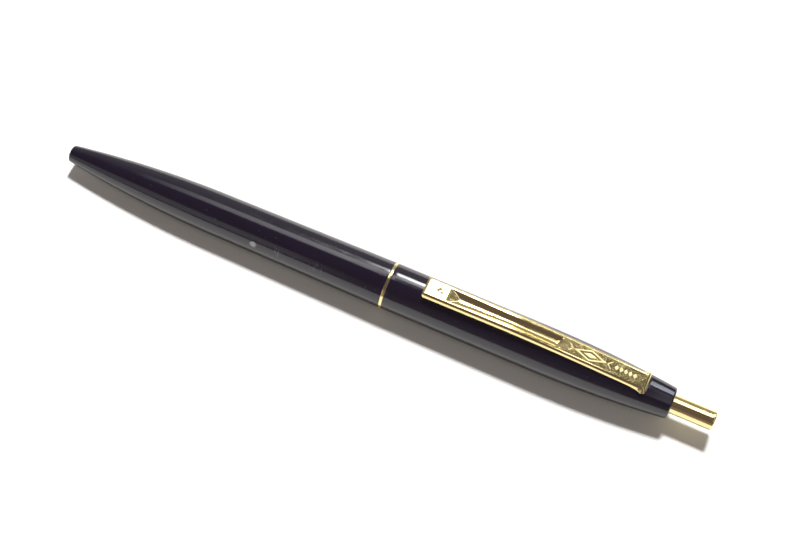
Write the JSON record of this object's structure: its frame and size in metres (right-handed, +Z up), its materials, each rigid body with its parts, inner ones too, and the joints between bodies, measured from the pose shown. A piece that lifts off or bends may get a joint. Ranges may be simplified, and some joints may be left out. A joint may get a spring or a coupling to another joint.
{
  "type": "retractable ballpoint pen",
  "caption": "Slim click-action ballpoint pen: black screwed barrel with a thin gold trim ring, gold pocket clip and push button, and a sprung refill.",
  "frame": {"origin": "on the surface the pen lies on, below the middle of its length", "axes": "+X along the pen towards the push button, +Z up through the clip, Y across the pen"},
  "size_m": [0.1396, 0.0096, 0.011],
  "materials": {
    "barrel_black": "polished black moulding",
    "ring_gold": "polished gold plate",
    "clip_gold": "polished gold plate",
    "button_gold": "polished gold plate",
    "mechanism_plastic": "natural acetal",
    "spring_steel": "bright drawn wire",
    "tube_plastic": "translucent tube",
    "ink": "black paste ink",
    "point_brass": "turned, satin",
    "ball_metal": "polished ball"
  },
  "bodies": {
    "upper_assembly": {"upper_barrel": "barrel_black", "guide_sleeve": "mechanism_plastic"},
    "trim_ring": {"centre_ring": "ring_gold"},
    "front_section": {"front_barrel": "barrel_black", "return_spring": "spring_steel"},
    "pocket_clip": {"clip": "clip_gold"},
    "button": {"push_button": "button_gold", "plunger": "mechanism_plastic"},
    "cam": {"rotary_cam": "mechanism_plastic"},
    "refill": {"ink_tube": "tube_plastic", "ink_column": "ink", "point_holder": "mechanism_plastic", "point_body": "point_brass"},
    "ball": {"writing_ball": "ball_metal"}
  },
  "joints": [
    {"name": "button_press", "type": "slide", "parent": "upper_assembly", "child": "button", "axis": [-1, 0, 0], "range_m": [0, 0.0062], "stiffness_N_per_m": 220, "springref_m": -0.004},
    {"name": "refill_advance", "type": "slide", "parent": "upper_assembly", "child": "refill", "axis": [-1, 0, 0], "range_m": [0, 0.0062], "deforming": ["return_spring"]},
    {"name": "cam_turn", "type": "hinge", "parent": "button", "child": "cam", "pos_m": [0.0447, 0, 0.00483], "axis": [1, 0, 0], "range_deg": [-2, 2]},
    {"name": "clip_flex", "type": "hinge", "parent": "upper_assembly", "child": "pocket_clip", "pos_m": [0.0552, 0, 0.00903], "axis": [0, 1, 0], "range_deg": [0, 2.5], "stiffness_Nm_per_rad": 2, "springref_deg": -1.15},
    {"name": "ring_slide", "type": "slide", "parent": "upper_assembly", "child": "trim_ring", "axis": [-1, 0, 0], "range_m": [0, 0.0075]},
    {"name": "barrel_unscrew", "type": "hinge", "parent": "trim_ring", "child": "front_section", "pos_m": [0.0012, 0, 0.00483], "axis": [-1, 0, 0], "range_deg": [0, 1800.1]},
    {"name": "ball_roll", "type": "hinge", "parent": "refill", "child": "ball", "pos_m": [-0.0678, 0, 0.00483], "axis": [0, 1, 0], "continuous": true}
  ],
  "couplings": [
    {"joint": "refill_advance", "follows": "button_press", "ratio": 1},
    {"joint": "barrel_unscrew", "follows": "ring_slide", "rad_per_m": 4188.8}
  ]
}
